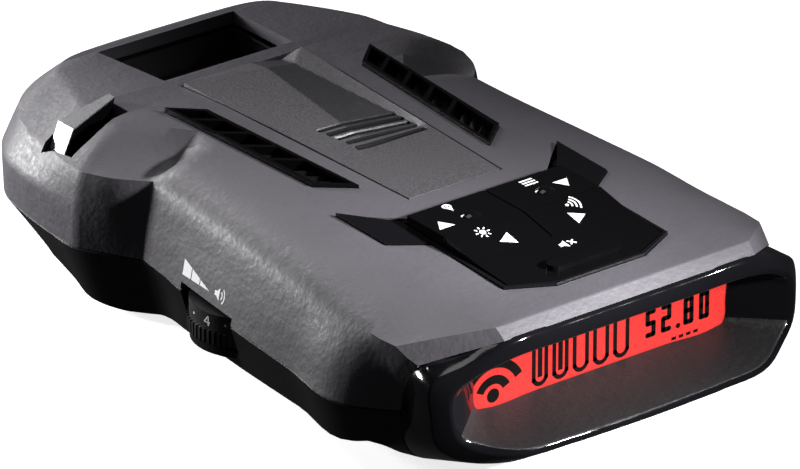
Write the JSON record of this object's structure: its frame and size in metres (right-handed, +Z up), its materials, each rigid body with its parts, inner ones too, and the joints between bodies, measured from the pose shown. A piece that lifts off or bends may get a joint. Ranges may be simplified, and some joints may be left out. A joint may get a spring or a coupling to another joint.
{
  "type": "windshield radar detector",
  "caption": "Flat windshield-mounted radar detector with a hooded rear display, deck keypad, side volume wheel and a top socket with a release lever.",
  "frame": {"origin": "centre of the case in plan, on the surface it rests on", "axes": "+Z up, +Y towards the road, +X to the driver's right"},
  "size_m": [0.0822, 0.138, 0.0314],
  "materials": {
    "case_top": "fine-grained soft-touch charcoal",
    "case_bottom": "satin black moulding",
    "gloss_black": "polished black",
    "button_black": "polished black with printed marks",
    "plate_metallic": "graphite silver with fine sparkle",
    "tinted_window": "dark red tint",
    "display_red": "lit red display",
    "white_plastic": "natural acetal",
    "dark_plastic": "moulded black",
    "lever_silver": "silver paint",
    "wheel_rubber": "knurled black",
    "steel": "plain",
    "black_steel": "black zinc",
    "circuit_board": "solder mask",
    "flex_copper": "polyimide ribbon",
    "cast_zinc": "die cast",
    "tin_plate": "tinned",
    "ceramic": "fired ceramic with silver face",
    "paper_cone": "pressed paper",
    "label_silver": "blank foil label"
  },
  "bodies": {
    "housing": {"top_cover": "case_top", "bottom_cover": "case_bottom", "rear_bezel": "gloss_black", "front_window": "tinted_window", "gps_plate": "plate_metallic", "left_vent_grille": "gloss_black", "right_vent_grille": "gloss_black", "button_surround": "gloss_black", "tact_switches": "dark_plastic", "keypad_board": "circuit_board", "keypad_screws": "steel", "mount_socket": "dark_plastic", "latch_spring": "steel", "volume_pot": "dark_plastic", "display_window": "tinted_window", "display_panel": "display_red", "display_holder": "dark_plastic", "display_board": "circuit_board", "display_flex": "flex_copper", "main_board": "circuit_board", "board_chips": "dark_plastic", "board_screws": "steel", "antenna_horn": "cast_zinc", "horn_lens": "white_plastic", "rf_board": "circuit_board", "rf_shield": "tin_plate", "laser_sensor": "dark_plastic", "laser_lenses": "tinted_window", "gps_board": "circuit_board", "gps_antenna": "ceramic", "speaker_frame": "dark_plastic", "speaker_cone": "paper_cone", "speaker_magnet": "tin_plate", "power_jack": "dark_plastic", "audio_jack": "dark_plastic", "usb_port": "tin_plate", "case_screws": "black_steel", "label_plate": "label_silver"},
    "mark_key": {"mark_button": "button_black", "mark_plunger": "white_plastic"},
    "menu_key": {"menu_button": "button_black", "menu_plunger": "white_plastic"},
    "dim_key": {"dim_button": "button_black", "dim_plunger": "white_plastic"},
    "sen_key": {"sen_button": "button_black", "sen_plunger": "white_plastic"},
    "mute_key": {"mute_button": "button_black", "mute_plunger": "white_plastic"},
    "lever": {"release_lever": "lever_silver", "latch_hook": "white_plastic"},
    "wheel": {"volume_wheel": "wheel_rubber", "volume_shaft": "steel"}
  },
  "joints": [
    {"name": "mark_press", "type": "slide", "parent": "housing", "child": "mark_key", "axis": [0, 0, -1], "range_m": [0, 0.0005], "stiffness_N_per_m": 2500, "springref_m": -0.0002},
    {"name": "menu_press", "type": "slide", "parent": "housing", "child": "menu_key", "axis": [0, 0, -1], "range_m": [0, 0.0005], "stiffness_N_per_m": 2500, "springref_m": -0.0002},
    {"name": "dim_press", "type": "slide", "parent": "housing", "child": "dim_key", "axis": [0, 0, -1], "range_m": [0, 0.0005], "stiffness_N_per_m": 2500, "springref_m": -0.0002},
    {"name": "sen_press", "type": "slide", "parent": "housing", "child": "sen_key", "axis": [0, 0, -1], "range_m": [0, 0.0005], "stiffness_N_per_m": 2500, "springref_m": -0.0002},
    {"name": "mute_press", "type": "slide", "parent": "housing", "child": "mute_key", "axis": [0, 0, -1], "range_m": [0, 0.0005], "stiffness_N_per_m": 2500, "springref_m": -0.0002},
    {"name": "lever_slide", "type": "slide", "parent": "housing", "child": "lever", "axis": [0, -1, 0], "range_m": [0, 0.004], "stiffness_N_per_m": 600, "springref_m": -0.001, "deforming": ["latch_spring"]},
    {"name": "volume_turn", "type": "hinge", "parent": "housing", "child": "wheel", "pos_m": [-0.0293, -0.0027, 0.0096], "axis": [0, 0, 1], "range_deg": [-140, 140]}
  ]
}
